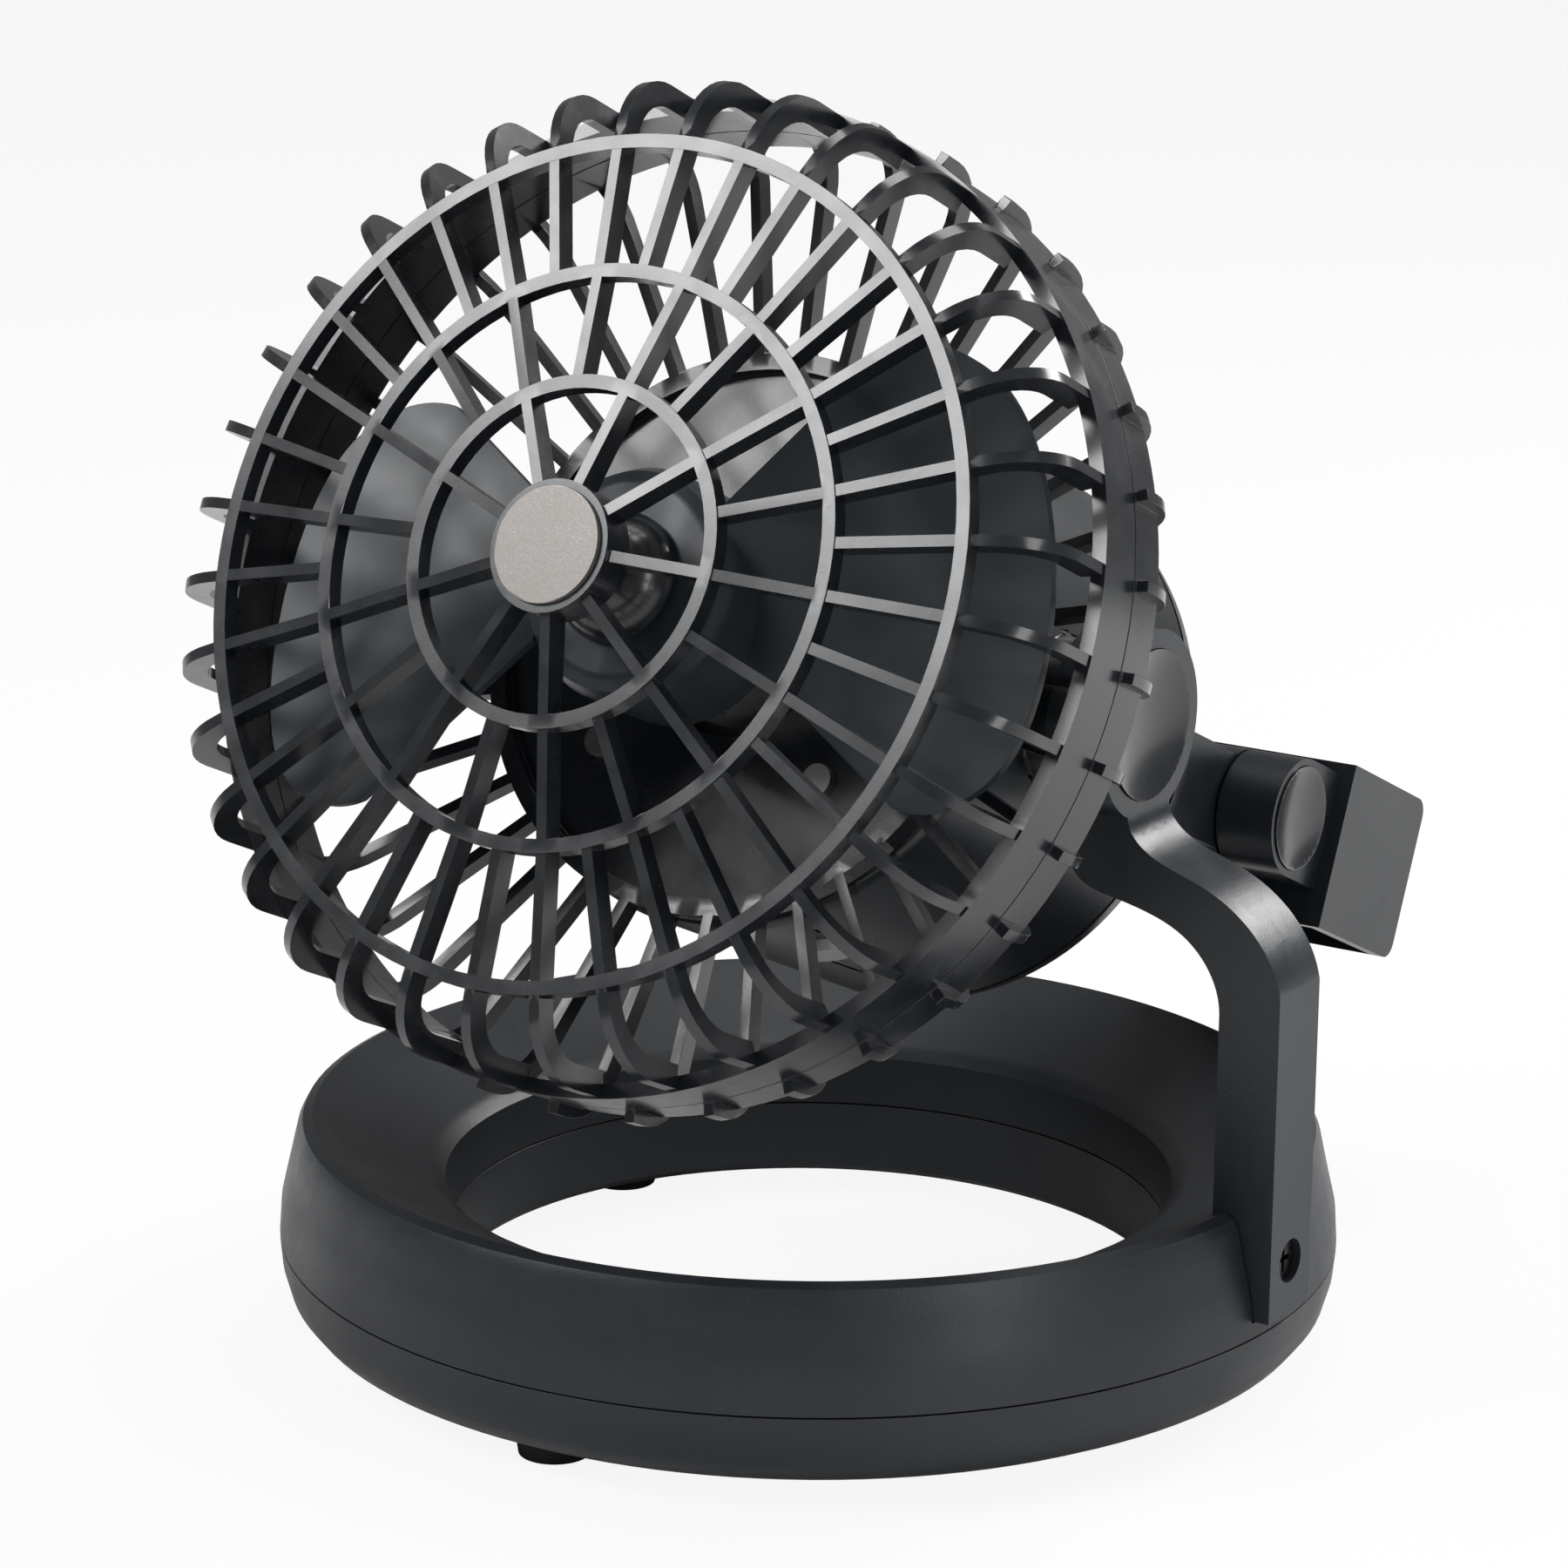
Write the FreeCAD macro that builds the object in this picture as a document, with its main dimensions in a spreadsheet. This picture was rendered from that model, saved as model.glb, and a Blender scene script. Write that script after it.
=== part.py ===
import FreeCAD, Part
import math
import os

os.makedirs("parts", exist_ok=True)
V = FreeCAD.Vector
doc = FreeCAD.newDocument("camping_fan")

# Driving sizes in millimetres and degrees; head sizes are measured forward from the pivot along the fan axis
SIZES = {
    "seam_radius": 90.0, "crest_radius": 85.6, "inner_rim_radius": 63.3, "hole_radius": 61.0,
    "seam_height": 17.0, "crest_height": 37.7, "inner_rim_height": 27.7, "shell_bottom": 4.0,
    "shell_wall": 2.4, "bottom_radius": 83.0, "part_gap": 0.3, "fit_gap": 0.05,
    "lens_inner": 66.5, "lens_outer": 79.5, "lens_thick": 1.8, "lens_span": 94.0,
    "foot_ring": 74.5, "foot_radius": 6.5, "foot_rise": 4.5,
    "board_height": 10.5, "board_thick": 1.6, "lamp_radius": 2.4, "lamps_each": 6.0, "lamp_ring": 73.0, "lamp_step": 15.0,
    "arm_outer": 92.4, "arm_thick": 10.8, "arm_depth": 13.5, "foot_low": 20.0,
    "foot_screw_height": 29.0, "pivot_height": 114.0, "tilt": 24.8,
    "eye_inner": 53.5, "eye_outer": 64.0, "eye_radius": 15.5, "pin_radius": 4.5, "cap_radius": 12.3,
    "drum_radius": 48.0, "drum_wall": 2.5, "drum_front": 22.0, "drum_back": -44.0, "lid_back": -56.0,
    "cell_radius": 16.3, "cell_length": 61.0, "cell_back": -43.3,
    "motor_radius": 15.0, "motor_length": 24.0, "shaft_radius": 1.5, "shaft_length": 17.0,
    "hub_radius": 19.0, "hub_back": 47.5, "hub_front": 62.0, "blade_radius": 71.0, "blade_span": 76.0,
    "blade_rise": 15.0, "blade_thick": 1.7,
    "ring_one": 26.9, "ring_two": 45.6, "ring_three": 67.2, "disc_radius": 9.3,
    "front_one": 80.0, "front_two": 77.0, "front_three": 75.0, "disc_front": 84.2,
    "hoop_radius": 81.0, "hoop_wall": 2.4, "rib_proud": 83.0, "rib_thick": 1.8, "rib_depth": 4.0,
    "hoop_front": 55.0, "hoop_joint": 45.0, "hoop_back": 37.0, "ring_width": 2.2,
    "hanger_axis": -82.0, "barrel_radius": 10.5, "hook_left": 16.0, "hook_right": 56.0,
    "hook_near": -93.5, "hook_far": -125.0, "hook_top": 12.5, "hook_low": -17.0, "hook_wall": 2.6,
    "middle_across": 1.2, "middle_along": 10.05,
}

sheet = doc.addObject("Spreadsheet::Sheet", "Sizes")
for row, (name, value) in enumerate(SIZES.items(), start=1):
    sheet.set("A%d" % row, name)
    sheet.set("B%d" % row, str(value))
    sheet.setAlias("B%d" % row, name)
doc.recompute()


def size(name):
    return float(sheet.get(name))


nodes = []
pivot = V(0, 0, size("pivot_height"))
head_turn = FreeCAD.Rotation(V(1, 0, 0), 90.0 - size("tilt"))
head_place = FreeCAD.Placement(pivot, head_turn)
base_place = FreeCAD.Placement()
# The part is built round the ring's axis, then moved so that the middle of its outline is the origin
centring = FreeCAD.Placement(V(-size("middle_across"), -size("middle_along"), 0), FreeCAD.Rotation())


def finish(obj, name, place=base_place):
    obj.Label = name
    obj.Placement = centring.multiply(place.multiply(obj.Placement))
    nodes.append(obj)
    return obj


def bind(obj, **cells):
    """Ties properties to expressions on the sheet."""
    for prop, text in cells.items():
        words = text.replace("(", " ( ").replace(")", " ) ").split()
        text = " ".join("Sizes." + w if w in SIZES else w for w in words)
        obj.setExpression(prop.replace("__", "."), text)
    return obj


def cylinder(name, radius, height, x="0", y="0", z="0", axis="z"):
    obj = doc.addObject("Part::Cylinder", name)
    turn = {"z": FreeCAD.Rotation(), "x": FreeCAD.Rotation(V(0, 1, 0), 90)}[axis]
    obj.Placement = FreeCAD.Placement(V(), turn)
    bind(obj, Radius=radius, Height=height)
    return bind(obj, Placement__Base__x=x, Placement__Base__y=y, Placement__Base__z=z)


def box(name, sides, corner):
    obj = doc.addObject("Part::Box", name)
    bind(obj, Length=sides[0], Width=sides[1], Height=sides[2])
    return bind(obj, Placement__Base__x=corner[0], Placement__Base__y=corner[1], Placement__Base__z=corner[2])


def cut(name, base, *tools):
    for number, tool in enumerate(tools):
        obj = doc.addObject("Part::Cut", "%s_cut_%d" % (name, number))
        obj.Base = base
        obj.Tool = tool
        base = obj
    return base


def fuse(name, *pieces):
    obj = doc.addObject("Part::MultiFuse", name + "_join")
    obj.Shapes = list(pieces)
    obj.Refine = True
    return obj


def plain(name, shape):
    obj = doc.addObject("Part::Feature", name)
    obj.Shape = shape
    return obj


def revolved(name, points, axis=V(0, 0, 1), base=V()):
    """Turns a closed outline of (radius, height) points into a ring."""
    wire = plain(name + "_outline", Part.makePolygon([V(r, 0, z) for r, z in points + points[:1]]))
    obj = doc.addObject("Part::Revolution", name + "_turned")
    obj.Source = wire
    obj.Axis = axis
    obj.Base = base
    obj.Angle = 360.0
    obj.Solid = True
    return obj


def arc_points(cx, cz, radius, start, end, steps=8):
    """Points on an arc in the radius and height plane."""
    angles = [math.radians(start + (end - start) * i / steps) for i in range(steps + 1)]
    return [(cx + radius * math.cos(a), cz + radius * math.sin(a)) for a in angles]


def ring(inner, outer, low, high):
    return Part.makeCylinder(outer, high - low, V(0, 0, low)).cut(Part.makeCylinder(inner, high - low, V(0, 0, low)))


def around(shape, count, first=0.0, span=360.0):
    copies = []
    for i in range(count):
        copy = shape.copy()
        copy.rotate(V(), V(0, 0, 1), first + span * i / count)
        copies.append(copy)
    return copies


def base_shells():
    wall = size("shell_wall")
    seam, crest, rim = size("seam_radius"), size("crest_radius"), size("inner_rim_radius")
    zs, zc, zi = size("seam_height"), size("crest_height"), size("inner_rim_height")
    hole, zb, rb = size("hole_radius"), size("shell_bottom"), size("bottom_radius")
    gap = size("part_gap")
    # Upper shell: outer wall, rounded crest, dished top and straight inner wall, open below
    outer = [(seam, zs + gap), (seam - 0.4, zs + 6), (crest + 1.2, zc - 2.6), (crest + 0.3, zc - 0.9), (crest - 1.4, zc - 0.1)]
    outer += [(crest - 3.2, zc - 0.9), (rim + 1.6, zi + 0.7), (rim + 0.2, zi - 0.2), (hole + 0.9, zi - 1.8), (hole, zs + gap)]
    inner = [(hole + wall, zs + gap), (hole + wall + 0.5, zi - 3.6), (rim + 2.4, zi - 2.3), (crest - 3.4, zc - 3.7), (crest - 1.7, zc - 3.6)]
    inner += [(seam - wall - 0.4, zs + 6), (seam - wall, zs + gap)]
    shell = revolved("upper", outer + inner)
    half = size("arm_depth") / 2
    x0 = size("arm_outer") - size("arm_thick")
    low = size("foot_low")
    solid = revolved("upper_envelope", outer)
    housing = plain("pocket_housing", Part.makeBox(14, 2 * half + 6, 22, V(x0 - 3, -half - 3, zs + gap)))
    common = doc.addObject("Part::Common", "pocket_walls")
    common.Base = solid
    common.Tool = housing
    pocket = plain("pocket", Part.makeBox(20, 2 * half + 2 * gap, 40, V(x0 - gap, -half - gap, low - gap)))
    screw_bore = cylinder("foot_screw_bore", "1.6", "10", "arm_outer - arm_thick - 6", "0", "foot_screw_height", "x")
    notch = plain("rim_notch", Part.makeBox(7, 6, 4, V(hole - 1, -half - 12, zi - 3)))
    finish(cut("base_upper_shell", fuse("upper_walls", shell, common), pocket, screw_bore, notch), "base_upper_shell")
    # Lower shell: rounded undercut bowl with lamp windows and foot pads
    curve = [(rb, zb), (rb + 3.2, zb + 1.6), (rb + 5.4, zb + 4.4), (seam - 0.4, zb + 8.6), (seam, zs)]
    tray = [(hole, zs), (hole, zb + 1.2), (hole + 1.2, zb)] + curve
    tray += [(seam - wall, zs), (rb + 3.4, zb + 5.6), (rb - 0.4, zb + wall), (hole + wall, zb + wall), (hole + wall, zs)]
    bowl = revolved("lower", tray)
    li, lo, span = size("lens_inner"), size("lens_outer"), size("lens_span")
    opening = window(li + 0.8, lo - 0.8, zb - 1, zb + wall + 1, span - 1.5)
    rebate = window(li - 0.1, lo + 0.1, zb + 0.6, zb + wall + 1, span)
    foot_holes = around(Part.makeCylinder(2.05, 12, V(size("foot_ring"), 0, 0)), 3, -90)
    tools = plain("lamp_windows", Part.makeCompound(around(rebate, 3, -30) + foot_holes))
    openings = plain("lamp_openings", Part.makeCompound(around(opening, 3, -30)))
    pillars = plain("board_pillars", Part.makeCompound(around(pillar(hole, zb + 2), 4, 22.5)))
    lower = cut("base_lower_shell", fuse("lower_walls", bowl, pillars), tools, openings)
    finish(lower, "base_lower_shell")
    lens = window(li, lo, zb + 0.7, zb + 0.7 + size("lens_thick"), span - 0.4)
    finish(plain("lens", Part.makeCompound(around(lens, 3, -30))), "lamp_lens")


def pillar(hole, low):
    """Short post that carries the lamp board beside the inner wall."""
    post = Part.makeBox(4.0, 5.0, size("board_height") - low, V(hole + 1.5, -2.5, low))
    return post


def window(inner, outer, low, high, span):
    """Arc-shaped block centred on the X axis."""
    piece = Part.makeCylinder(outer, high - low, V(0, 0, low), V(0, 0, 1), span)
    piece = piece.cut(Part.makeCylinder(inner, high - low, V(0, 0, low)))
    piece.rotate(V(), V(0, 0, 1), -span / 2)
    return piece


def base_fittings():
    rf, rise = size("foot_ring"), size("foot_rise")
    low = size("shell_bottom") - size("part_gap") + 0.3
    pad = Part.makeCone(size("foot_radius") - 0.6, size("foot_radius"), low, V(rf, 0, 0))
    stem = Part.makeCylinder(2.0, 4.2, V(rf, 0, low))
    head = Part.makeCylinder(3.0, 1.4, V(rf, 0, low + 2.5))
    foot = pad.fuse([stem, head]).removeSplitter()
    finish(plain("feet", Part.makeCompound(around(foot, 3, -90))), "rubber_feet")
    zb, thick = size("board_height"), size("board_thick")
    board = cut("board", cylinder("board_disc", "lens_outer + 2", "board_thick", z="board_height"),
                cylinder("board_hole", "hole_radius + shell_wall + part_gap", "board_thick", z="board_height"))
    finish(board, "lamp_board")
    count = int(size("lamps_each"))
    lamps = []
    rl = size("lamp_ring")
    for k in range(3 * count):
        third, place = divmod(k, count)
        angle = -30 + 120 * third + (place - (count - 1) / 2) * size("lamp_step")
        body = Part.makeCylinder(size("lamp_radius"), 1.4, V(rl, 0, zb - 1.4))
        body = body.fuse(Part.makeSphere(size("lamp_radius"), V(rl, 0, zb - 1.4), V(0, 0, 1), -90, 0, 360))
        body.rotate(V(), V(0, 0, 1), angle)
        lamps.append(body.removeSplitter())
    finish(plain("lamps", Part.makeCompound(lamps)), "lamp_leds")


def arm():
    outer, thick, half = size("arm_outer"), size("arm_thick"), size("arm_depth") / 2
    low, top = size("foot_low"), size("pivot_height")
    e0, e1, er = size("eye_inner"), size("eye_outer"), size("eye_radius")
    inner = outer - thick
    outside = [(outer, 74.9), (90.4, 80.4), (85.2, 86.6), (76.6, 91.4), (68.6, 94.4), (65.0, 97.4), (e1, 101.0)]
    inside = [(e0, 100.0), (e0, 91.9), (56.1, 88.2), (61.8, 86.5), (67.6, 85.2), (74.4, 82.4), (79.4, 77.4), (inner, 70.5)]

    def smooth(points):
        curve = Part.BSplineCurve()
        curve.interpolate([V(x, -half, z) for x, z in points])
        return curve.toShape()
    line = [V(inner, -half, 70.5), V(inner, -half, low), V(outer, -half, low), V(outer, -half, 74.9)]
    edges = [Part.makeLine(line[i], line[i + 1]) for i in range(3)]
    edges.append(smooth(outside))
    up = [V(e1, -half, 101.0), V(e1, -half, top), V(e0, -half, top), V(e0, -half, 100.0)]
    edges += [Part.makeLine(up[i], up[i + 1]) for i in range(3)]
    edges += [Part.makeLine(V(e0, -half, 100.0), V(e0, -half, 91.9)), smooth(inside[1:])]
    bar = Part.Face(Part.Wire(edges)).extrude(V(0, 2 * half, 0))
    eye = Part.makeCylinder(er, e1 - e0, V(e0, 0, top), V(1, 0, 0))
    body = bar.fuse(eye).removeSplitter()
    bore = Part.makeCylinder(size("pin_radius") + size("fit_gap"), 20, V(e0 - 1, 0, top), V(1, 0, 0))
    nut_recess = Part.makeCylinder(8.5, 10, V(e1 - 5, 0, top), V(1, 0, 0))
    cap_recess = Part.makeCylinder(size("cap_radius") + 0.1, 10, V(e1 - 2.6, 0, top), V(1, 0, 0))
    screw = Part.makeCylinder(2.05, 30, V(inner - 1, 0, size("foot_screw_height")), V(1, 0, 0))
    head = Part.makeCylinder(3.65, 10, V(outer - 3.5, 0, size("foot_screw_height")), V(1, 0, 0))
    body = body.cut([bore, nut_recess, cap_recess, screw, head])
    finish(plain("arm_body", body), "arm")
    # Screw that holds the foot in its pocket
    z = size("foot_screw_height")
    shank = Part.makeCylinder(1.58, 12.9, V(inner - 5.6, 0, z), V(1, 0, 0))
    cap = Part.makeCylinder(3.3, 2.2, V(outer - 3.5, 0, z), V(1, 0, 0))
    slot = Part.makeBox(1.2, 4.4, 0.9, V(outer - 2.5, -2.2, z - 0.45))
    cross = Part.makeBox(1.2, 0.9, 4.4, V(outer - 2.5, -0.45, z - 2.2))
    shank = Part.makeCylinder(1.58, outer - 3.5 - (inner - 5.6), V(inner - 5.6, 0, z), V(1, 0, 0))
    finish(plain("screw", shank.fuse(cap).cut([slot, cross])), "arm_foot_screw")
    # Dished cap over the pivot, pressed into the eye
    dish = Part.makeCylinder(size("cap_radius"), 3.0, V(e1 - 2.5, 0, top), V(1, 0, 0))
    bowl = Part.makeSphere(36.0, V(e1 + 34.2, 0, top))
    finish(plain("pivot_dish", dish.cut(bowl)), "pivot_cap")


def drum():
    radius, wall, front, back = (size(n) for n in ("drum_radius", "drum_wall", "drum_front", "drum_back"))
    e0 = size("eye_inner")
    outline = [(radius - 3, front), (radius - 0.9, front - 0.9), (radius, front - 3), (radius, back), (radius - wall, back)]
    outline += [(radius - wall, front - 3), (4.6, front - 3), (4.6, front)]
    shell = revolved("drum", outline)
    boss = cylinder("pivot_boss", "12", "eye_inner - 1.3 - ( drum_radius - drum_wall )", "drum_radius - drum_wall", "0", "0", "x")
    bore = cylinder("pivot_bore", "pin_radius", "20", "drum_radius - drum_wall - 3", "0", "0", "x")
    fan_slot = Part.makeBox(6, 5.2, 15, V(radius - wall - 3.5, -2.6, -7.5))
    fan_slot.rotate(V(), V(0, 0, 1), -70)
    fan_slot.translate(V(0, 0, -22))
    lamp_hole = Part.makeCylinder(4.3, 10, V(radius - wall - 5, 0, 2), V(1, 0, 0))
    lamp_hole.rotate(V(), V(0, 0, 1), -70)
    pilots = around(Part.makeCylinder(1.25, 6, V(30, 0, front - 4)), 4, 45)
    tools = plain("switch_openings", Part.makeCompound([fan_slot, lamp_hole] + pilots))
    finish(cut("drum_shell", fuse("drum_walls", shell, boss), bore, tools), "drum_shell", head_place)
    slider = Part.makeBox(3.6, 4.6, 8.0, V(radius - 1.9, -2.3, -26 - 3.0))
    grip = Part.makeBox(1.4, 4.6, 2.4, V(radius + 1.5, -2.3, -26 - 0.2))
    slider = slider.fuse(grip).removeSplitter()
    slider.rotate(V(), V(0, 0, 1), -70)
    finish(plain("slider", slider), "fan_switch_slider", head_place)
    button = Part.makeCylinder(4.0, 4.2, V(radius - 2.6, 0, 2), V(1, 0, 0))
    button.rotate(V(), V(0, 0, 1), -70)
    finish(plain("button", button), "lamp_button", head_place)
    body = Part.makeBox(2.8, 6.6, 24, V(radius - wall - 3.1, -3.3, -31)).fuse(
        Part.makeBox(1.4, 9, 15, V(radius - wall - 3.1, -4.5, -8.5)))
    body.rotate(V(), V(0, 0, 1), -70)
    finish(plain("switch_body", body), "switch_block", head_place)
    # Domed back lid with a spigot
    lb = size("lid_back")
    gap = size("part_gap")
    edge = back - gap
    dome = [(radius, edge), (radius - 0.5, edge - 3), (radius - 2.2, edge - 5.8), (radius - 5.4, edge - 8.4)]
    dome += [(radius - 10, lb + 1.6), (radius - 18, lb + 0.5), (0, lb)]
    inside = [(0, lb + wall), (radius - 18, lb + wall + 0.5), (radius - 11.5, lb + wall + 2.2), (radius - 5, edge - 4.2)]
    inside += [(radius - 5, edge + 4), (radius - wall - 0.1, edge + 4), (radius - wall - 0.1, edge)]
    lid = revolved("lid", dome + inside)
    neck = box("hanger_neck", ("13.4", "17", "hanger_axis * -1 + lid_back + 6"), ("28.3", "-8.5", "hanger_axis"))
    barrel = cylinder("hanger_barrel", "barrel_radius", "13.4", "28.3", "0", "hanger_axis", "x")
    pin_bore = cylinder("hanger_bore", "3.05", "30", "20", "0", "hanger_axis", "x")
    hollow = cylinder("lid_hollow", "drum_radius - 5", "10", z="lid_back + 4.8")
    neck_root = cut("neck_root", neck, hollow)
    finish(cut("battery_lid", fuse("lid_walls", lid, neck_root, barrel), pin_bore), "battery_lid", head_place)


def pivot_parts():
    e0, e1 = size("eye_inner"), size("eye_outer")
    start = size("drum_radius") - size("drum_wall") - 1.6
    pin = Part.makeCylinder(size("pin_radius"), e1 - 5 + 0.1 - start, V(start, 0, 0), V(1, 0, 0))
    flange = Part.makeCylinder(8.0, 1.5, V(start - 1.5, 0, 0), V(1, 0, 0))
    finish(plain("pin", pin.fuse(flange)), "pivot_pin", head_place)
    washer = Part.makeCylinder(11.5, 1.2, V(e0 - 1.3, 0, 0), V(1, 0, 0))
    washer = washer.cut(Part.makeCylinder(size("pin_radius") + 0.1, 3, V(e0 - 2, 0, 0), V(1, 0, 0)))
    finish(plain("washer", washer), "friction_washer", head_place)
    nut = Part.makeCylinder(7.6, 1.6, V(e1 - 4.8, 0, 0), V(1, 0, 0))
    finish(plain("keeper", nut), "pivot_keeper", head_place)


def power_parts():
    rc, length, back = size("cell_radius"), size("cell_length"), size("cell_back")
    off = rc + 0.35
    cells, springs, plates = [], [], []
    for k in range(4):
        x = off * (1 if k in (0, 3) else -1)
        y = off * (1 if k in (0, 1) else -1)
        flip = k % 2
        can = Part.makeCylinder(rc, length - 1.6, V(x, y, back + 1.6 * flip))
        tip = Part.makeCylinder(4.5, 1.6, V(x, y, back if flip else back + length - 1.6))
        cells.append(can.fuse(tip).removeSplitter())
        coil = [Part.makeCone(6.0 - n, 5.0 - n, 1.0, V(x, y, back - 3.6 + 1.1 * n)) for n in range(3)]
        coil = [c.cut(Part.makeCylinder(3.0 - n * 0.6, 4, V(x, y, back - 5))) for n, c in enumerate(coil)]
        stack = Part.makeCylinder(6.0, 1.1, V(x, y, back - 3.9)).fuse(
            [Part.makeCone(6.0, 3.6, 2.6, V(x, y, back - 2.9))]).removeSplitter()
        springs.append(stack)
    for y in (-off, off):
        strip = Part.makeBox(2 * off + 10, 10, 0.6, V(-off - 5, y - 5, back - 4.6))
        plates.append(strip)
    finish(plain("cells", Part.makeCompound(cells)), "battery_cells", head_place)
    finish(plain("spring_cones", Part.makeCompound(springs)), "contact_springs", head_place)
    plate = Part.makeCylinder(size("drum_radius") - size("drum_wall") - 0.3, 0.9, V(0, 0, back + length + 0.2))
    finish(plain("contact_disc", plate), "contact_board", head_place)
    rear = Part.makeCylinder(42.4, 0.7, V(0, 0, back - 4.8))
    finish(plain("rear_contact_disc", rear), "rear_contact_plate", head_place)


def motor_parts():
    rm, front, length = size("motor_radius"), size("drum_front"), size("motor_length")
    can = Part.makeCylinder(rm, length - 2, V(0, 0, front + 0.3))
    end = Part.makeCylinder(4.4, 2.0, V(0, 0, front - 1.7))
    nose = Part.makeCylinder(4.0, 1.2, V(0, 0, front + 0.3 + length - 2))
    bore = Part.makeCylinder(size("shaft_radius") + size("fit_gap"), 60, V(0, 0, front + 3))
    edge = can.fuse([end, nose]).cut(bore).removeSplitter()
    finish(plain("motor_can", edge), "motor", head_place)
    shaft = Part.makeCylinder(size("shaft_radius"), size("shaft_length") + 18, V(0, 0, front + 6))
    finish(plain("shaft_rod", shaft), "motor_shaft", head_place)


def impeller():
    hr, hb, hf = size("hub_radius"), size("hub_back"), size("hub_front")
    rs, thick = size("shaft_radius"), size("blade_thick")
    outline = [(hr, hb - 6), (hr, hf - 4), (hr - 1.2, hf - 1.2), (hr - 4, hf), (4, hf), (4, hf + 1), (rs + 0.02, hf + 1)]
    outline += [(rs + 0.02, hf - 9), (4, hf - 9), (4, hf - 2.2), (hr - 4, hf - 2.2), (hr - 2, hf - 4.4), (hr - 2, hb - 6)]
    hub = Part.Face(Part.makePolygon([V(r, 0, z) for r, z in outline + outline[:1]])).revolve(V(), V(0, 0, 1), 360)
    span, rise = size("blade_span"), size("blade_rise")
    middle = (hb + hf) / 2 - 1

    def edge(radius, low, high, wide, trim=0.0):
        points = []
        for i in range(13):
            u = i / 12.0
            a = math.radians((u - 0.5) * wide)
            bow = 2.4 * math.sin(math.pi * u)
            reach = radius - trim * abs(2 * u - 1) ** 5
            points.append(V(reach * math.cos(a), reach * math.sin(a), middle + low + (high - low) * u - bow))
        curve = Part.BSplineCurve()
        curve.interpolate(points)
        return curve.toShape()
    root = edge(hr - 1, -rise / 2 + 1, rise / 2 - 1, 62)
    tip = edge(size("blade_radius"), -rise / 2, rise / 2, span, 15.0)
    sheet_face = Part.makeRuledSurface(root, tip)
    blade = sheet_face.extrude(V(0, 0, thick))
    if blade.Volume < 0:
        blade.reverse()
    whole = hub.fuse(around(blade, 2, 10)).removeSplitter()
    finish(plain("fan_wheel", whole), "impeller", head_place)
    cone = Part.makeSphere(11.0, V(0, 0, hf + 1.2 - 2.6), V(0, 0, 1), 0, 90, 360)
    cone = cone.cut([Part.makeCylinder(12, 2.8, V(0, 0, hf - 1.4)), Part.makeCylinder(rs + 0.3, 8.0, V(0, 0, hf))])
    finish(plain("spinner_dome", cone), "spinner", head_place)


def rib(outline, thick):
    """Flat radial rib standing on the X axis."""
    points = [V(r, -thick / 2, z) for r, z in outline]
    return Part.Face(Part.makePolygon(points + points[:1])).extrude(V(0, thick, 0))


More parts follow.
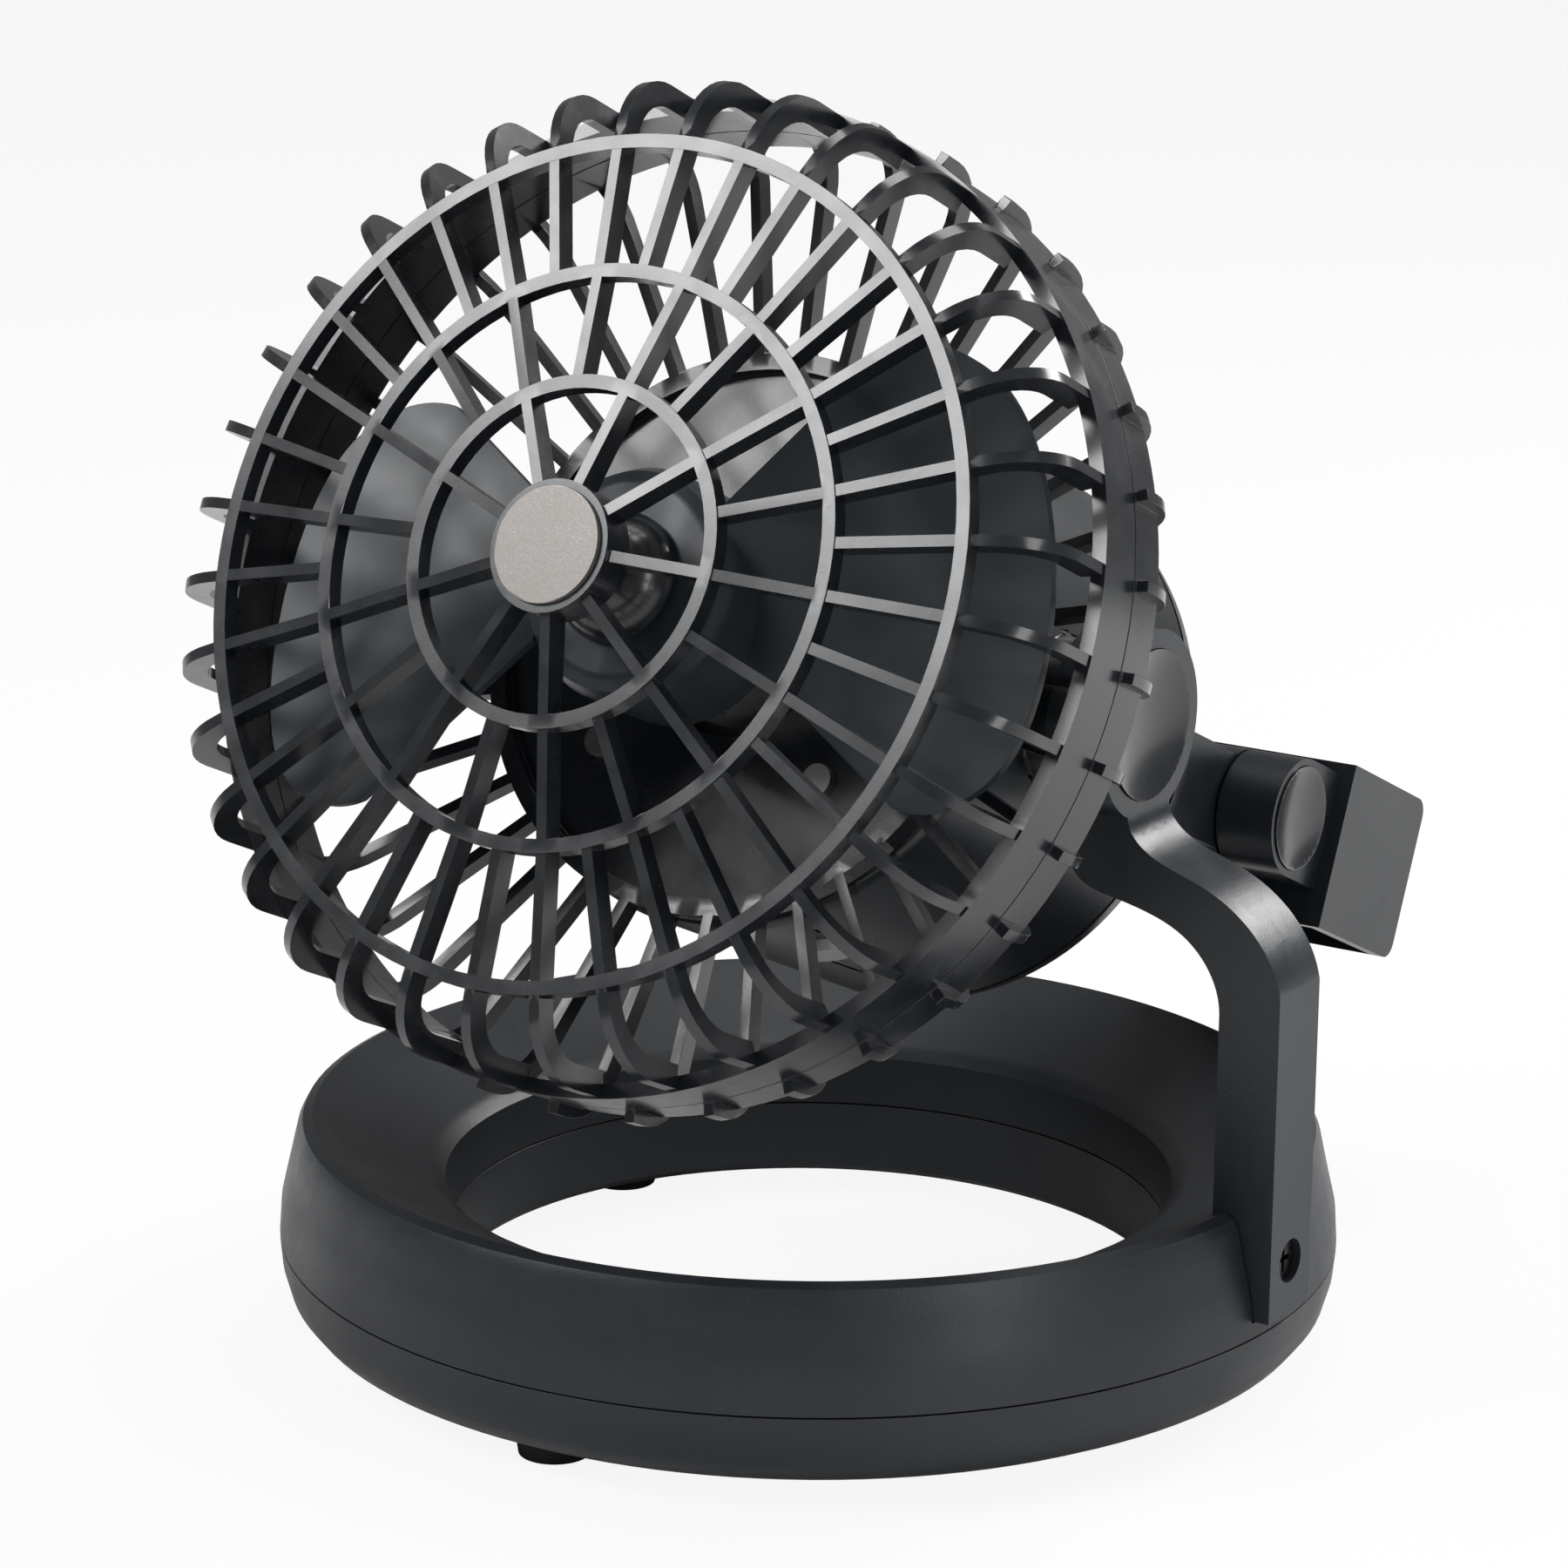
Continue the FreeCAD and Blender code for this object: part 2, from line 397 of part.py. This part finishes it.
def guards():
    r1, r2, r3, rd = (size(n) for n in ("ring_one", "ring_two", "ring_three", "disc_radius"))
    z1, z2, z3, zd = (size(n) for n in ("front_one", "front_two", "front_three", "disc_front"))
    t, d, w = size("rib_thick"), size("rib_depth"), size("ring_width")
    hoop, hw, proud = size("hoop_radius"), size("hoop_wall"), size("rib_proud")
    hf, hj, hb, gap = size("hoop_front"), size("hoop_joint"), size("hoop_back"), size("part_gap")
    inner = rib([(rd - 1, zd - 1.6), (r1, z1), (r1, z1 - d), (rd - 1, zd - 1.6 - d - 0.6)], t)
    middle = rib([(r1, z1), (r2, z2), (r2, z2 - d), (r1, z1 - d)], t)
    lip = hoop - 0.3
    shoulder = arc_points(lip - 12.0, z3 - 12.4, 12.0, 84, 0, 9)
    under = arc_points(lip - 12.0, z3 - 12.4, 8.0, 0, 84, 7)
    foot = [(lip, hf - 4.0), (hoop - hw + 0.4, hf - 4.0), (hoop - hw + 0.4, hf - 0.4), (lip - 4.0, hf - 0.4)]
    outer = rib([(r2, z2), (r3, z3)] + shoulder + foot + under + [(r3, z3 - d), (r2, z2 - d)], t)
    parts = around(inner, 9) + around(middle, 18) + around(outer, 36)
    parts += [ring(r - w / 2, r + w / 2, z - 3.0, z + 0.15) for r, z in ((r1, z1), (r2, z2), (r3, z3))]
    parts.append(ring(hoop - hw, hoop, hj + gap, hf))
    parts.append(Part.makeCylinder(rd + 1.3, 6.4, V(0, 0, zd - 7.4)))
    front = parts[0].fuse(parts[1:])
    recess = Part.makeCylinder(rd + 0.1, 3, V(0, 0, zd - 2.0))
    finish(plain("front_grille", front.cut(recess)), "front_guard", head_place)
    finish(plain("grille_disc", Part.makeCylinder(rd, 1.8, V(0, 0, zd - 2.0))), "guard_disc", head_place)
    # Rear guard: the ribs leave the hoop, bend over a shoulder and run back to the collar on the drum
    dr, df = size("drum_radius"), size("drum_front")
    bend = arc_points(proud - 12.0, hj - 4.0, 12.0, 0, -70, 7)
    bend_in = arc_points(proud - 12.0, hj - 4.0, 8.4, -70, 0, 6)
    back_rib = rib([(proud, hj - 0.6)] + bend + [(dr - 3, df + 0.6), (dr - 3, df + 4.2)] + bend_in + [(proud - 3.6, hj - 0.6)], t)
    pieces = around(back_rib, 36)
    pieces.append(ring(hoop - hw, hoop, hb, hj))
    pieces.append(ring(17.0, dr - 1.0, df + 0.3, df + 2.3))
    pieces.append(ring(dr - 4.0, dr - 1.0, df + 0.3, df + 4.6))
    rear = pieces[0].fuse(pieces[1:]).cut(around(Part.makeCylinder(1.3, 6, V(30, 0, df)), 4, 45))
    finish(plain("rear_grille", rear), "rear_guard", head_place)
    screws = []
    for angle in (45, 135, 225, 315):
        body = Part.makeCylinder(2.6, 1.4, V(30, 0, df + 2.3)).fuse(Part.makeCylinder(1.2, 4.6, V(30, 0, df - 2.3)))
        body.rotate(V(), V(0, 0, 1), angle)
        screws.append(body.removeSplitter())
    finish(plain("collar_screws", Part.makeCompound(screws)), "guard_screws", head_place)


def hanger():
    z0, rb = size("hanger_axis"), size("barrel_radius")
    left, right, near, far = (size(n) for n in ("hook_left", "hook_right", "hook_near", "hook_far"))
    top, low, wall = size("hook_top"), size("hook_low"), size("hook_wall")
    block = Part.makeBox(right - left, top - low, near - far, V(left, low, far))
    edges = [e for e in block.Edges if e.BoundBox.XLength > 10 and e.BoundBox.ZMax < far + 1]
    block = block.makeFillet(3.0, edges)
    hollow = Part.makeBox(right - left - 2 * wall, top - low, near - far - 2 * wall, V(left + wall, low - wall, far + wall))
    block = block.cut(hollow)
    lugs = []
    for x, wide in ((left + 1.5, 10.5), (42.2, 11.0)):
        lug = Part.makeCylinder(rb, wide, V(x, 0, z0), V(1, 0, 0))
        web = Part.makeBox(wide, 2 * rb, z0 - near, V(x, -rb, near))
        lugs.append(lug.fuse(web))
    body = block.fuse(lugs).removeSplitter()
    clear = Part.makeCylinder(rb + 0.5, 14.6, V(27.7, 0, z0), V(1, 0, 0))
    bore = Part.makeCylinder(3.0, 37.6, V(left + 1.5 + 2, 0, z0), V(1, 0, 0))
    seat = Part.makeCylinder(9.3, 5, V(51.2, 0, z0), V(1, 0, 0))
    body = body.cut([clear, bore, seat])
    finish(plain("hook_body", body), "hanger_hook", head_place)
    pin = Part.makeCylinder(2.98, 31.0, V(left + 1.5 + 2.2, 0, z0), V(1, 0, 0))
    finish(plain("hook_pin", pin), "hanger_pin", head_place)
    cap = Part.makeCylinder(9.2, 2.4, V(51.3, 0, z0), V(1, 0, 0)).cut(Part.makeSphere(30.0, V(51.3 + 30.8, 0, z0)))
    finish(plain("hook_cap", cap), "hanger_cap", head_place)


base_shells()
base_fittings()
arm()
drum()
pivot_parts()
power_parts()
motor_parts()
impeller()
guards()
hanger()
doc.recompute()

for obj in doc.Objects:
    if any(word in obj.State for word in ("Invalid", "Error")):
        raise RuntimeError("%s did not rebuild: %s" % (obj.Label, obj.State))
for obj in nodes:
    if obj.Shape.isNull() or not obj.Shape.isValid() or not obj.Shape.Solids:
        raise RuntimeError("%s has no sound solid" % obj.Label)
for obj in nodes:
    print(obj.Label, len(obj.Shape.Solids), "solids", round(obj.Shape.Volume), "mm3")
    obj.Shape.exportStep("parts/%s.step" % obj.Label)
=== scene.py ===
import math
import bmesh
import bpy
from mathutils import Matrix, Vector

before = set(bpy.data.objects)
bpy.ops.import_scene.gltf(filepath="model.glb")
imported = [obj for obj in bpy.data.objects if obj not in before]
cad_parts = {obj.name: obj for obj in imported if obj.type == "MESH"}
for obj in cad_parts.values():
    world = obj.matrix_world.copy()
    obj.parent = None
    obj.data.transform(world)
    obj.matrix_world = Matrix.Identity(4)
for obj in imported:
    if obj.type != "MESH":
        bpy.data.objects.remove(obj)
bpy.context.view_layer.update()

# Base shells: two black ABS mouldings with a fine eroded grain, clipped together on the seam.
# The grain is about half a millimetre, and fingers have rubbed the crest a little smoother.
class Sock:
    """A shader socket with arithmetic; call() adds any other node."""

    def __init__(self, tree, out=None):
        self.tree, self.out = tree, out

    def call(self, kind, inputs=(), out=0, **settings):
        node = self.tree.nodes.new(kind)
        for key, value in settings.items():
            setattr(node, key, value)
        for key, value in dict(inputs).items():
            if isinstance(value, Sock):
                self.tree.links.new(value.out, node.inputs[key])
            else:
                node.inputs[key].default_value = value
        return Sock(self.tree, node.outputs[out])

    def math(self, operation, *values):
        return self.call("ShaderNodeMath", dict(enumerate(values)), operation=operation)

    def __add__(self, other):
        return self.math("ADD", self, other)

    def __radd__(self, other):
        return self.math("ADD", other, self)

    def __mul__(self, other):
        return self.math("MULTIPLY", self, other)

    def __rmul__(self, other):
        return self.math("MULTIPLY", other, self)

    def noise(self, scale, detail=3.0, rough=0.55):
        inputs = {"Vector": self, "Scale": scale, "Detail": detail, "Roughness": rough}
        return self.call("ShaderNodeTexNoise", inputs)

    def stretched(self, x, y, z):
        return self.call("ShaderNodeMapping", {"Vector": self, "Scale": (x, y, z)})

    def ramp(self, low, high, start=0.0, stop=1.0):
        inputs = {"Value": self, "From Min": low, "From Max": high, "To Min": start, "To Max": stop}
        return self.call("ShaderNodeMapRange", inputs)

    def mix(self, first, second):
        first_colour, second_colour, result_colour = 6, 7, 2
        inputs = {0: self, first_colour: first, second_colour: second}
        return self.call("ShaderNodeMix", inputs, out=result_colour, data_type="RGBA")

    def bump(self, strength, depth):
        return self.call("ShaderNodeBump", {"Height": self, "Strength": strength, "Distance": depth})


def finish_for(name, **constants):
    """A new Principled material, its object-space position and a way to set its sockets."""
    material = bpy.data.materials.new(name)
    material.use_nodes = True
    tree = material.node_tree
    shader = tree.nodes["Principled BSDF"]
    for key, value in constants.items():
        shader.inputs[key.replace("_", " ")].default_value = value

    def drive(**sockets):
        for key, value in sockets.items():
            tree.links.new(value.out, shader.inputs[key.replace("_", " ")])
    return material, Sock(tree).call("ShaderNodeTexCoord", out="Object"), drive


def wear(name, material, edge=0.0, sharper_than=32.0, segments=3):
    """Gives a CAD node its finish, and rounds its edges as a moulding tool leaves them."""
    same_point, flat_face_weight = 0.000004, 80
    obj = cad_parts[name]
    for slot in obj.material_slots:
        slot.material = material
    for face in obj.data.polygons:
        face.use_smooth = True
    weld = obj.modifiers.new("weld", "WELD")
    weld.merge_threshold = same_point
    if edge:
        bevel = obj.modifiers.new("edges", "BEVEL")
        bevel.width, bevel.segments = edge, segments
        bevel.limit_method, bevel.angle_limit = "ANGLE", math.radians(sharper_than)
        bevel.use_clamp_overlap = True
    smooth = obj.modifiers.new("shading", "WEIGHTED_NORMAL")
    smooth.keep_sharp = False
    smooth.weight = flat_face_weight


shell, at, drive = finish_for("base_abs", Specular_IOR_Level=0.5)
abs_dark, abs_light = (0.0085, 0.0105, 0.0135, 1), (0.0135, 0.0163, 0.0205, 1)
abs_dust = (0.075, 0.08, 0.085, 1)
grain = at.noise(1900.0, detail=2.0, rough=0.6)
cloud = at.noise(22.0, detail=4.0, rough=0.6)
handled = at.noise(60.0, detail=5.0, rough=0.7)
dust = at.noise(700.0, detail=4.0, rough=0.7).ramp(0.62, 0.74) * cloud.ramp(0.4, 0.65)
drive(
    Base_Color=(dust * 0.25).mix(cloud.ramp(0.3, 0.7).mix(abs_dark, abs_light), abs_dust),
    Roughness=handled.ramp(0.3, 0.7, start=0.34, stop=0.46) + grain * 0.05,
    Normal=grain.bump(strength=0.16, depth=0.0002),
)
wear("base_upper_shell", shell, edge=0.0009)
wear("base_lower_shell", shell, edge=0.0009)

# Arm: one thick glass-filled nylon moulding with a smoother satin skin than the base.
# It is screwed into its pocket from outside, and carries the head in its round eye.
nylon, at, drive = finish_for("arm_nylon", Specular_IOR_Level=0.5)
nylon_dark, nylon_light = (0.010, 0.0125, 0.016, 1), (0.0155, 0.019, 0.0235, 1)
streak = at.stretched(1.0, 1.0, 0.25).noise(90.0, detail=4.0, rough=0.6)
grain = at.noise(2200.0, detail=2.0, rough=0.5)
drive(
    Base_Color=streak.ramp(0.3, 0.7).mix(nylon_dark, nylon_light),
    Roughness=streak.ramp(0.3, 0.7, start=0.27, stop=0.38) + grain * 0.04,
    Normal=(grain + streak * 0.3).bump(strength=0.10, depth=0.0002),
)
wear("arm", nylon, edge=0.0011, sharper_than=30.0, segments=4)

# Drum, its lid and the hook behind it: the same ABS as the base, a little glossier.
# The drum holds the cells, and the switches sit low on its side; the lid's back is domed.
drum, at, drive = finish_for("drum_abs", Specular_IOR_Level=0.5)
drum_light, drum_scuff = (0.013, 0.0155, 0.019, 1), (0.05, 0.052, 0.056, 1)
cloud = at.noise(30.0, detail=5.0, rough=0.6)
grain = at.noise(2100.0, detail=2.0, rough=0.5)
scuff = at.stretched(6.0, 1.0, 1.0).noise(160.0, detail=6.0, rough=0.75).ramp(0.63, 0.70)
drive(
    Base_Color=(scuff * 0.3).mix(cloud.ramp(0.3, 0.7).mix(abs_dark, drum_light), drum_scuff),
    Roughness=cloud.ramp(0.3, 0.7, start=0.26, stop=0.36) + scuff * 0.12 + grain * 0.04,
    Normal=grain.bump(strength=0.10, depth=0.0002),
)
wear("drum_shell", drum, edge=0.0006)
wear("battery_lid", drum, edge=0.0008)
wear("hanger_hook", drum, edge=0.0009)

# Guards: two gloss black mouldings that snap together at the hoop, each a cage of thin ribs.
# The polished tool leaves a clear gloss with faint flow lines, which gives the silvery edges.
gloss, at, drive = finish_for("guard_gloss", Specular_IOR_Level=0.62, Coat_Weight=0.35, Coat_Roughness=0.12)
gloss_dark, gloss_light = (0.006, 0.0072, 0.0095, 1), (0.011, 0.013, 0.0165, 1)
gloss_dust = (0.09, 0.09, 0.09, 1)
ripple = at.noise(120.0, detail=4.0, rough=0.6)
speck = at.noise(1500.0, detail=3.0, rough=0.6)
dust = speck.ramp(0.66, 0.78) * at.noise(40.0, detail=3.0).ramp(0.45, 0.7)
drive(
    Base_Color=(dust * 0.4).mix(ripple.ramp(0.3, 0.7).mix(gloss_dark, gloss_light), gloss_dust),
    Roughness=ripple.ramp(0.3, 0.7, start=0.19, stop=0.30) + dust * 0.25,
    Normal=(ripple * 0.6 + speck * 0.1).bump(strength=0.12, depth=0.0003),
)
wear("front_guard", gloss, edge=0.00035, sharper_than=40.0, segments=2)
wear("rear_guard", gloss, edge=0.00035, sharper_than=40.0, segments=2)
wear("pivot_cap", gloss, edge=0.0005)
wear("hanger_cap", gloss, edge=0.0005)

# Fan wheel: two broad blades on one hub, moulded in a blue-grey polypropylene with a waxy sheen.
# The hub is pressed on the motor's shaft under a domed spinner.
waxy, at, drive = finish_for("blade_pp", Specular_IOR_Level=0.5)
blade_dark, blade_light = (0.016, 0.021, 0.027, 1), (0.026, 0.034, 0.042, 1)
flow = at.noise(45.0, detail=5.0, rough=0.6)
grain = at.noise(1300.0, detail=3.0, rough=0.5)
drive(
    Base_Color=flow.ramp(0.3, 0.7).mix(blade_dark, blade_light),
    Roughness=flow.ramp(0.3, 0.7, start=0.30, stop=0.44),
    Normal=(flow * 0.5 + grain * 0.2).bump(strength=0.10, depth=0.0003),
)
wear("impeller", waxy, edge=0.0005, sharper_than=40.0)
wear("spinner", gloss, edge=0.0006)

# Disc in the middle of the guard: a bare round plate, sprayed a warm grey with a metallic fleck.
# It is pressed into the dark collar and leaves a thin shadow round it.
spray, at, drive = finish_for("disc_spray", Metallic=0.55, Coat_Weight=0.2, Coat_Roughness=0.3)
spray_dark, spray_light, spray_fleck = (0.15, 0.14, 0.132, 1), (0.23, 0.212, 0.198, 1), (0.36, 0.35, 0.34, 1)
fleck = at.noise(4200.0, detail=2.0, rough=0.7)
smear = at.noise(130.0, detail=4.0, rough=0.6)
drive(
    Base_Color=(fleck.ramp(0.5, 0.7) * 0.5).mix(smear.ramp(0.3, 0.7).mix(spray_dark, spray_light), spray_fleck),
    Roughness=smear.ramp(0.3, 0.7, start=0.36, stop=0.50),
    Normal=fleck.bump(strength=0.08, depth=0.0001),
)
wear("guard_disc", spray, edge=0.0004)

# Rubber feet and the friction washer: soft black rubber with a dull, slightly dusty skin.
# The feet are pushed through the lower shell and hold by their shoulders.
rubber, at, drive = finish_for("soft_rubber", Specular_IOR_Level=0.35)
rubber_black, rubber_worn = (0.009, 0.009, 0.010, 1), (0.024, 0.023, 0.022, 1)
pores = at.noise(1100.0, detail=4.0, rough=0.7)
worn = at.noise(90.0, detail=4.0, rough=0.6)
drive(
    Base_Color=worn.ramp(0.35, 0.7).mix(rubber_black, rubber_worn),
    Roughness=worn.ramp(0.3, 0.7, start=0.72, stop=0.88),
    Normal=pores.bump(strength=0.3, depth=0.0002),
)
wear("rubber_feet", rubber, edge=0.0005)
wear("friction_washer", rubber, edge=0.0002)

# Lamp under the base: three finely frosted arcs, set into windows in the lower shell.
# Above them small lamps face down from a green board on posts; the contact board is the same stuff.
frost, at, drive = finish_for("lens_frost", Transmission_Weight=0.72, IOR=1.49)
frost_cool, frost_pale = (0.80, 0.83, 0.86, 1), (0.90, 0.92, 0.94, 1)
frosting = at.noise(1800.0, detail=3.0, rough=0.6)
drive(
    Base_Color=frosting.mix(frost_cool, frost_pale),
    Roughness=frosting.ramp(0.3, 0.7, start=0.30, stop=0.46),
    Normal=frosting.bump(strength=0.25, depth=0.0002),
)
wear("lamp_lens", frost, edge=0.0003)

epoxy, at, drive = finish_for("lamp_epoxy", Transmission_Weight=0.3, IOR=1.5)
epoxy_yellow, epoxy_cream = (0.86, 0.84, 0.62, 1), (0.95, 0.94, 0.82, 1)
swirl = at.noise(500.0, detail=3.0)
drive(
    Base_Color=swirl.mix(epoxy_yellow, epoxy_cream),
    Roughness=swirl.ramp(0.3, 0.7, start=0.08, stop=0.2),
)
wear("lamp_leds", epoxy)

mask, at, drive = finish_for("solder_mask", Coat_Weight=0.4)
mask_green, track_green = (0.012, 0.085, 0.035, 1), (0.02, 0.13, 0.055, 1)
weave = at.noise(900.0, detail=2.0)
drive(
    Base_Color=at.noise(150.0, detail=5.0, rough=0.7).ramp(0.48, 0.52).mix(mask_green, track_green),
    Roughness=weave.ramp(0.3, 0.7, start=0.3, stop=0.45),
    Normal=weave.bump(strength=0.1, depth=0.0001),
)
wear("lamp_board", mask)
wear("contact_board", mask)

# Screws, pins, contacts and the motor can: zinc-plated steel, with a little tarnish.
# The pins are turned, and the contacts are pressed from sheet.
zinc, at, drive = finish_for("zinc_steel", Metallic=1.0)
zinc_bright, zinc_tarnish = (0.56, 0.56, 0.57, 1), (0.36, 0.35, 0.33, 1)
turned = at.noise(1400.0, detail=4.0, rough=0.6)
stain = at.noise(140.0, detail=5.0, rough=0.65)
drive(
    Base_Color=stain.ramp(0.35, 0.7).mix(zinc_bright, zinc_tarnish),
    Roughness=stain.ramp(0.3, 0.7, start=0.22, stop=0.42) + turned * 0.08,
    Normal=turned.bump(strength=0.12, depth=0.0001),
)
for name in (
    "pivot_pin", "pivot_keeper", "contact_springs", "rear_contact_plate",
    "motor", "motor_shaft", "guard_screws", "hanger_pin",
):
    wear(name, zinc, edge=0.0002)

# Foot screw: one blackened steel screw through the arm's foot into the base.
# Its cross recess faces out, so it can be undone from the side.
black, at, drive = finish_for("black_steel", Metallic=1.0)
oxide_black, oxide_rubbed = (0.02, 0.02, 0.022, 1), (0.08, 0.08, 0.085, 1)
oxide = at.noise(1200.0, detail=3.0)
drive(
    Base_Color=oxide.mix(oxide_black, oxide_rubbed),
    Roughness=oxide.ramp(0.3, 0.7, start=0.25, stop=0.45),
)
wear("arm_foot_screw", black, edge=0.0002)

# Cells: four plain grey-wrapped cells of the large round size, side by side in the drum.
# The wrap is shrunk on and bears no marks.
wrap, at, drive = finish_for("cell_wrap", Metallic=0.4, Coat_Weight=0.4)
wrap_dark, wrap_light = (0.12, 0.13, 0.14, 1), (0.18, 0.19, 0.2, 1)
crease = at.noise(260.0, detail=4.0, rough=0.6)
drive(
    Base_Color=crease.mix(wrap_dark, wrap_light),
    Roughness=crease.ramp(0.3, 0.7, start=0.25, stop=0.4),
)
wear("battery_cells", wrap, edge=0.0006)

# Switches: a grey slide with a raised grip and a round push key, in acetal, over a black block.
# The slide is rubbed brighter where a thumb pushes it.
acetal, at, drive = finish_for("acetal_grey", Specular_IOR_Level=0.5)
acetal_dark, acetal_rubbed = (0.30, 0.31, 0.31, 1), (0.42, 0.43, 0.42, 1)
rub = at.noise(420.0, detail=4.0, rough=0.6)
drive(
    Base_Color=rub.ramp(0.3, 0.7).mix(acetal_dark, acetal_rubbed),
    Roughness=rub.ramp(0.3, 0.7, start=0.36, stop=0.5),
    Normal=rub.bump(strength=0.1, depth=0.0001),
)
wear("fan_switch_slider", acetal, edge=0.0004)
wear("lamp_button", acetal, edge=0.0005)
wear("switch_block", drum, edge=0.0003)

# Floor: a plain white sheet, which the camera sees almost white and which keeps a soft shadow.
# The rest of the backdrop is the world, white to the camera and dim to the object.
floor_half_side, paper_white, floor_glow, world_on_object = 4.0, 0.82, 0.9, 0.22


def seen_by_camera(tree):
    """1 for rays from the camera, also through clear plastic, and 0 for the rest."""
    straight = Sock(tree).call("ShaderNodeLightPath", out="Is Camera Ray")
    return straight.math("MAXIMUM", straight, Sock(tree).call("ShaderNodeLightPath", out="Is Transmission Ray"))


bm = bmesh.new()
bmesh.ops.create_grid(bm, x_segments=1, y_segments=1, size=floor_half_side)
mesh = bpy.data.meshes.new("floor")
bm.to_mesh(mesh)
bm.free()
floor = bpy.data.objects.new("floor", mesh)
bpy.context.scene.collection.objects.link(floor)
pale = finish_for(
    "pale_floor", Base_Color=(paper_white, paper_white, paper_white, 1), Roughness=0.9, Specular_IOR_Level=0.1
)[0]
tree = pale.node_tree
paint = Sock(tree, tree.nodes["Principled BSDF"].outputs[0])
blend = paint.call(
    "ShaderNodeMixShader", {0: seen_by_camera(tree) * floor_glow, 1: paint, 2: paint.call("ShaderNodeEmission")}
)
tree.links.new(blend.out, tree.nodes["Material Output"].inputs[0])
floor.data.materials.append(pale)

world = bpy.data.worlds.new("studio")
bpy.context.scene.world = world
world.use_nodes = True
tree = world.node_tree
ground = tree.nodes["Background"]
strength = seen_by_camera(tree).ramp(0.0, 1.0, start=world_on_object, stop=1.0)
tree.links.new(strength.out, ground.inputs["Strength"])
ground.inputs["Color"].default_value = (1, 1, 1, 1)

# Studio light: a broad key over the left shoulder, a fill at the right and a strip behind.
# Lights and camera are placed from the ring base's axis, which stands a little off the origin.
ring_axis, lit_point = Vector((-0.0012, -0.01005, 0.0)), Vector((0.0, 0.0, 0.11))
for name, spot, wide, tall, watts in (
    ("key", (-0.55, -0.75, 0.85), 0.6, 0.4, 7.5),
    ("fill", (0.95, -0.35, 0.45), 0.3, 0.8, 3.0),
    ("back", (0.45, 0.85, 0.65), 0.7, 0.3, 8.0),
    ("top", (0.0, 0.1, 1.1), 0.5, 0.5, 4.0),
):
    lamp = bpy.data.lights.new(name, "AREA")
    lamp.shape, lamp.size, lamp.size_y, lamp.energy = "RECTANGLE", wide, tall, watts
    holder = bpy.data.objects.new(name, lamp)
    bpy.context.scene.collection.objects.link(holder)
    turn = (lit_point - Vector(spot)).to_track_quat("-Z", "Y").to_matrix().to_4x4()
    holder.matrix_world = Matrix.Translation(ring_axis + Vector(spot)) @ turn

# Camera: the photograph's place, as fitted to the circles of the base and the guard.
# Its distance and lens were found together, and other pairs fit almost as well.
sensor_mm, lens_mm, far_end, eye = 36.0, 118.74, 20.0, Vector((0.4502, -0.7026, 0.3227))
azimuth, elevation, roll = math.radians(32.98), math.radians(15.32), math.radians(0.53)
camera = bpy.data.cameras.new("camera")
camera.sensor_width, camera.lens, camera.clip_end = sensor_mm, lens_mm, far_end
viewer = bpy.data.objects.new("camera", camera)
bpy.context.scene.collection.objects.link(viewer)
back = Vector((
    math.sin(azimuth) * math.cos(elevation), -math.cos(azimuth) * math.cos(elevation), math.sin(elevation)
))
right = Vector((math.cos(azimuth), math.sin(azimuth), 0.0))
top = back.cross(right)
turn = Matrix((
    right * math.cos(roll) + top * math.sin(roll), -right * math.sin(roll) + top * math.cos(roll), back
))
viewer.matrix_world = Matrix.Translation(ring_axis + eye) @ turn.transposed().to_4x4()
bpy.context.scene.camera = viewer
bpy.context.scene.view_settings.view_transform = "Standard"
